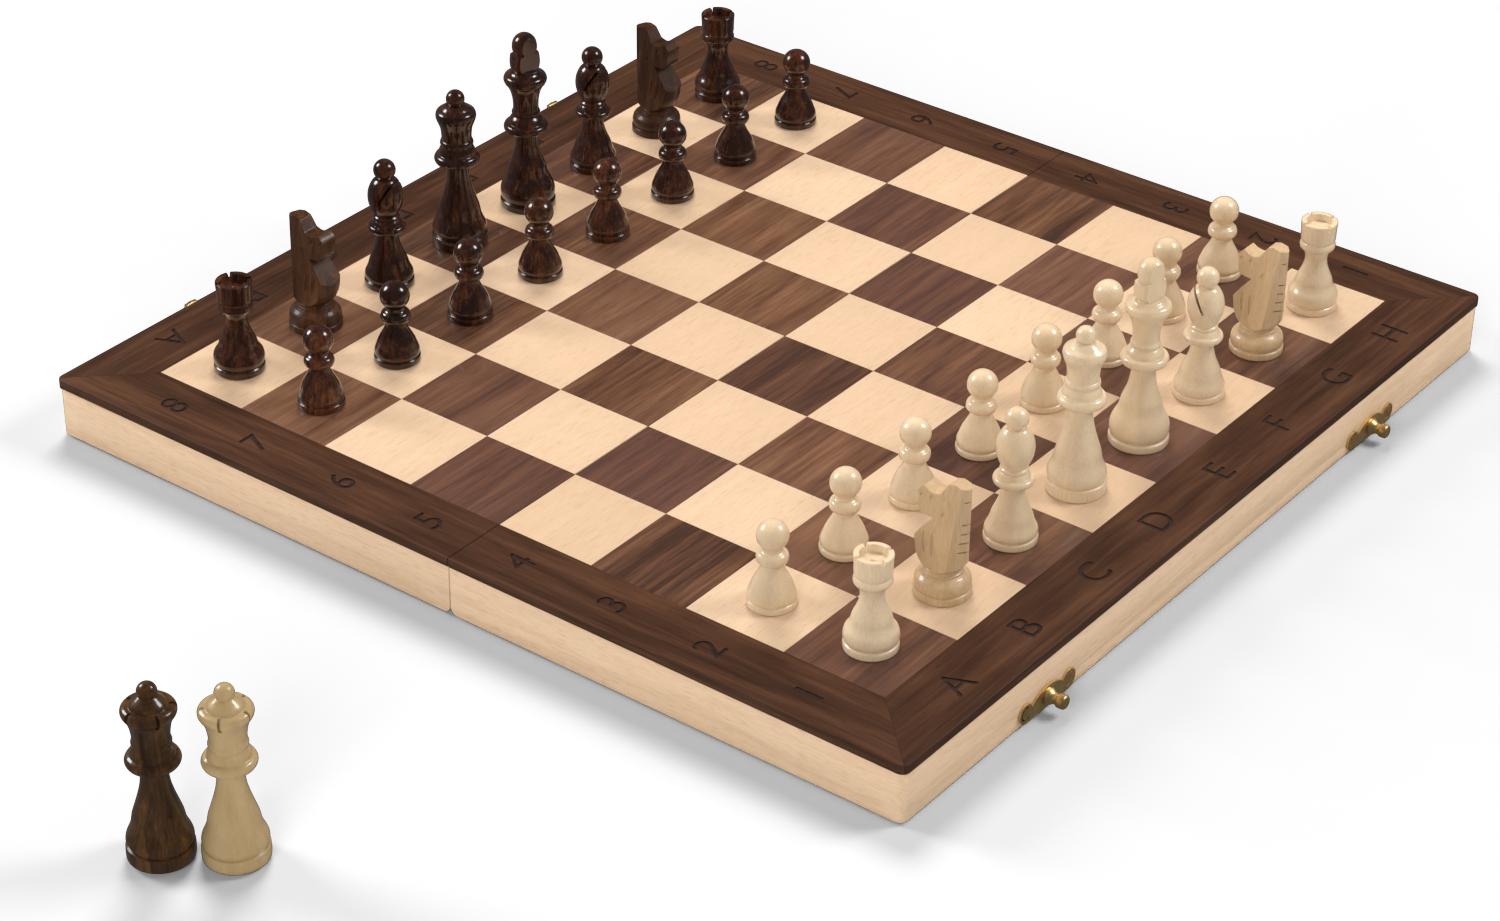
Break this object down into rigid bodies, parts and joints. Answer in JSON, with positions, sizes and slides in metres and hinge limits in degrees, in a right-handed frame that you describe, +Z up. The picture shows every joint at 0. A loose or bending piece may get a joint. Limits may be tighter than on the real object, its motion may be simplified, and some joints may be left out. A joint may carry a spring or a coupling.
{
  "type": "chess set",
  "caption": "Folding wooden chess board that closes into a felt-lined box with brass hinges and knob latches, set up with turned and lacquered men and two spare queens beside it.",
  "frame": {"origin": "the middle of the open board, on the plane that its rims stand on; the flat of the rim starts 3.2 mm from there, past the rounded edge of the fold", "axes": "+Z up, +X from file a to file h, +Y from rank 1 to rank 8, so the white side is at -Y"},
  "size_m": [0.546, 0.4038, 0.0982],
  "materials": {
    "walnut": "open-grained walnut veneer under a thin satin lacquer, grain along the files",
    "maple": "fine-grained pale maple veneer under a thin satin lacquer",
    "pale_softwood": "planed pale softwood, almost matt",
    "felt": "short felt",
    "brass": "pressed and polished brass plate",
    "dark_lacquer": "turned hardwood stained dark red-brown under gloss lacquer",
    "light_lacquer": "turned pale hardwood under clear gloss lacquer"
  },
  "bodies": {
    "white_half": {"white_outer_rail": "pale_softwood", "white_fold_rail": "pale_softwood", "white_side_rails": "pale_softwood", "white_border": "walnut", "white_field_panel": "pale_softwood", "white_dark_squares": "walnut", "white_light_squares": "maple", "white_lining": "felt", "hinge_leaves_white": "brass", "screws_white": "brass", "knob_plates": "brass", "latch_knobs": "brass"},
    "black_half": {"black_outer_rail": "pale_softwood", "black_fold_rail": "pale_softwood", "black_side_rails": "pale_softwood", "black_border": "walnut", "black_field_panel": "pale_softwood", "black_dark_squares": "walnut", "black_light_squares": "maple", "black_lining": "felt", "hinge_leaves_black": "brass", "hinge_and_hasp_pins": "brass", "screws_black": "brass", "hasp_plates": "brass"},
    "hasp_left": {"hasp_left": "brass"},
    "hasp_right": {"hasp_right": "brass"},
    "white_rook_a1": {"white_rook_a1": "light_lacquer"},
    "white_knight_b1": {"white_knight_b1": "light_lacquer"},
    "white_bishop_c1": {"white_bishop_c1": "light_lacquer"},
    "white_queen_d1": {"white_queen_d1": "light_lacquer"},
    "white_king_e1": {"white_king_e1": "light_lacquer"},
    "white_bishop_f1": {"white_bishop_f1": "light_lacquer"},
    "white_knight_g1": {"white_knight_g1": "light_lacquer"},
    "white_rook_h1": {"white_rook_h1": "light_lacquer"},
    "white_pawn_a2": {"white_pawn_a2": "light_lacquer"},
    "white_pawn_b2": {"white_pawn_b2": "light_lacquer"},
    "white_pawn_c2": {"white_pawn_c2": "light_lacquer"},
    "white_pawn_d2": {"white_pawn_d2": "light_lacquer"},
    "white_pawn_e2": {"white_pawn_e2": "light_lacquer"},
    "white_pawn_f2": {"white_pawn_f2": "light_lacquer"},
    "white_pawn_g2": {"white_pawn_g2": "light_lacquer"},
    "white_pawn_h2": {"white_pawn_h2": "light_lacquer"},
    "black_rook_a8": {"black_rook_a8": "dark_lacquer"},
    "black_knight_b8": {"black_knight_b8": "dark_lacquer"},
    "black_bishop_c8": {"black_bishop_c8": "dark_lacquer"},
    "black_queen_d8": {"black_queen_d8": "dark_lacquer"},
    "black_king_e8": {"black_king_e8": "dark_lacquer"},
    "black_bishop_f8": {"black_bishop_f8": "dark_lacquer"},
    "black_knight_g8": {"black_knight_g8": "dark_lacquer"},
    "black_rook_h8": {"black_rook_h8": "dark_lacquer"},
    "black_pawn_a7": {"black_pawn_a7": "dark_lacquer"},
    "black_pawn_b7": {"black_pawn_b7": "dark_lacquer"},
    "black_pawn_c7": {"black_pawn_c7": "dark_lacquer"},
    "black_pawn_d7": {"black_pawn_d7": "dark_lacquer"},
    "black_pawn_e7": {"black_pawn_e7": "dark_lacquer"},
    "black_pawn_f7": {"black_pawn_f7": "dark_lacquer"},
    "black_pawn_g7": {"black_pawn_g7": "dark_lacquer"},
    "black_pawn_h7": {"black_pawn_h7": "dark_lacquer"},
    "spare_queen_white": {"spare_queen_white": "light_lacquer"},
    "spare_queen_black": {"spare_queen_black": "dark_lacquer"}
  },
  "joints": [
    {"name": "fold", "type": "hinge", "parent": "white_half", "child": "black_half", "pos_m": [0, 0, -0.00005], "axis": [-1, 0, 0], "range_deg": [0, 180]},
    {"name": "hasp_left_swing", "type": "hinge", "parent": "black_half", "child": "hasp_left", "pos_m": [-0.108, 0.1922, 0.0036], "axis": [1, 0, 0], "range_deg": [-125, 55]},
    {"name": "hasp_right_swing", "type": "hinge", "parent": "black_half", "child": "hasp_right", "pos_m": [0.108, 0.1922, 0.0036], "axis": [1, 0, 0], "range_deg": [-125, 55]},
    {"name": "lift_white_rook_a1", "type": "slide", "parent": "white_half", "child": "white_rook_a1", "axis": [0, 0, 1], "range_m": [0, 0.1]},
    {"name": "lift_white_knight_b1", "type": "slide", "parent": "white_half", "child": "white_knight_b1", "axis": [0, 0, 1], "range_m": [0, 0.1]},
    {"name": "lift_white_bishop_c1", "type": "slide", "parent": "white_half", "child": "white_bishop_c1", "axis": [0, 0, 1], "range_m": [0, 0.1]},
    {"name": "lift_white_queen_d1", "type": "slide", "parent": "white_half", "child": "white_queen_d1", "axis": [0, 0, 1], "range_m": [0, 0.1]},
    {"name": "lift_white_king_e1", "type": "slide", "parent": "white_half", "child": "white_king_e1", "axis": [0, 0, 1], "range_m": [0, 0.1]},
    {"name": "lift_white_bishop_f1", "type": "slide", "parent": "white_half", "child": "white_bishop_f1", "axis": [0, 0, 1], "range_m": [0, 0.1]},
    {"name": "lift_white_knight_g1", "type": "slide", "parent": "white_half", "child": "white_knight_g1", "axis": [0, 0, 1], "range_m": [0, 0.1]},
    {"name": "lift_white_rook_h1", "type": "slide", "parent": "white_half", "child": "white_rook_h1", "axis": [0, 0, 1], "range_m": [0, 0.1]},
    {"name": "lift_white_pawn_a2", "type": "slide", "parent": "white_half", "child": "white_pawn_a2", "axis": [0, 0, 1], "range_m": [0, 0.1]},
    {"name": "lift_white_pawn_b2", "type": "slide", "parent": "white_half", "child": "white_pawn_b2", "axis": [0, 0, 1], "range_m": [0, 0.1]},
    {"name": "lift_white_pawn_c2", "type": "slide", "parent": "white_half", "child": "white_pawn_c2", "axis": [0, 0, 1], "range_m": [0, 0.1]},
    {"name": "lift_white_pawn_d2", "type": "slide", "parent": "white_half", "child": "white_pawn_d2", "axis": [0, 0, 1], "range_m": [0, 0.1]},
    {"name": "lift_white_pawn_e2", "type": "slide", "parent": "white_half", "child": "white_pawn_e2", "axis": [0, 0, 1], "range_m": [0, 0.1]},
    {"name": "lift_white_pawn_f2", "type": "slide", "parent": "white_half", "child": "white_pawn_f2", "axis": [0, 0, 1], "range_m": [0, 0.1]},
    {"name": "lift_white_pawn_g2", "type": "slide", "parent": "white_half", "child": "white_pawn_g2", "axis": [0, 0, 1], "range_m": [0, 0.1]},
    {"name": "lift_white_pawn_h2", "type": "slide", "parent": "white_half", "child": "white_pawn_h2", "axis": [0, 0, 1], "range_m": [0, 0.1]},
    {"name": "lift_black_rook_a8", "type": "slide", "parent": "black_half", "child": "black_rook_a8", "axis": [0, 0, 1], "range_m": [0, 0.1]},
    {"name": "lift_black_knight_b8", "type": "slide", "parent": "black_half", "child": "black_knight_b8", "axis": [0, 0, 1], "range_m": [0, 0.1]},
    {"name": "lift_black_bishop_c8", "type": "slide", "parent": "black_half", "child": "black_bishop_c8", "axis": [0, 0, 1], "range_m": [0, 0.1]},
    {"name": "lift_black_queen_d8", "type": "slide", "parent": "black_half", "child": "black_queen_d8", "axis": [0, 0, 1], "range_m": [0, 0.1]},
    {"name": "lift_black_king_e8", "type": "slide", "parent": "black_half", "child": "black_king_e8", "axis": [0, 0, 1], "range_m": [0, 0.1]},
    {"name": "lift_black_bishop_f8", "type": "slide", "parent": "black_half", "child": "black_bishop_f8", "axis": [0, 0, 1], "range_m": [0, 0.1]},
    {"name": "lift_black_knight_g8", "type": "slide", "parent": "black_half", "child": "black_knight_g8", "axis": [0, 0, 1], "range_m": [0, 0.1]},
    {"name": "lift_black_rook_h8", "type": "slide", "parent": "black_half", "child": "black_rook_h8", "axis": [0, 0, 1], "range_m": [0, 0.1]},
    {"name": "lift_black_pawn_a7", "type": "slide", "parent": "black_half", "child": "black_pawn_a7", "axis": [0, 0, 1], "range_m": [0, 0.1]},
    {"name": "lift_black_pawn_b7", "type": "slide", "parent": "black_half", "child": "black_pawn_b7", "axis": [0, 0, 1], "range_m": [0, 0.1]},
    {"name": "lift_black_pawn_c7", "type": "slide", "parent": "black_half", "child": "black_pawn_c7", "axis": [0, 0, 1], "range_m": [0, 0.1]},
    {"name": "lift_black_pawn_d7", "type": "slide", "parent": "black_half", "child": "black_pawn_d7", "axis": [0, 0, 1], "range_m": [0, 0.1]},
    {"name": "lift_black_pawn_e7", "type": "slide", "parent": "black_half", "child": "black_pawn_e7", "axis": [0, 0, 1], "range_m": [0, 0.1]},
    {"name": "lift_black_pawn_f7", "type": "slide", "parent": "black_half", "child": "black_pawn_f7", "axis": [0, 0, 1], "range_m": [0, 0.1]},
    {"name": "lift_black_pawn_g7", "type": "slide", "parent": "black_half", "child": "black_pawn_g7", "axis": [0, 0, 1], "range_m": [0, 0.1]},
    {"name": "lift_black_pawn_h7", "type": "slide", "parent": "black_half", "child": "black_pawn_h7", "axis": [0, 0, 1], "range_m": [0, 0.1]},
    {"name": "lift_spare_queen_white", "type": "slide", "parent": "white_half", "child": "spare_queen_white", "axis": [0, 0, 1], "range_m": [0, 0.1]},
    {"name": "lift_spare_queen_black", "type": "slide", "parent": "white_half", "child": "spare_queen_black", "axis": [0, 0, 1], "range_m": [0, 0.1]}
  ]
}
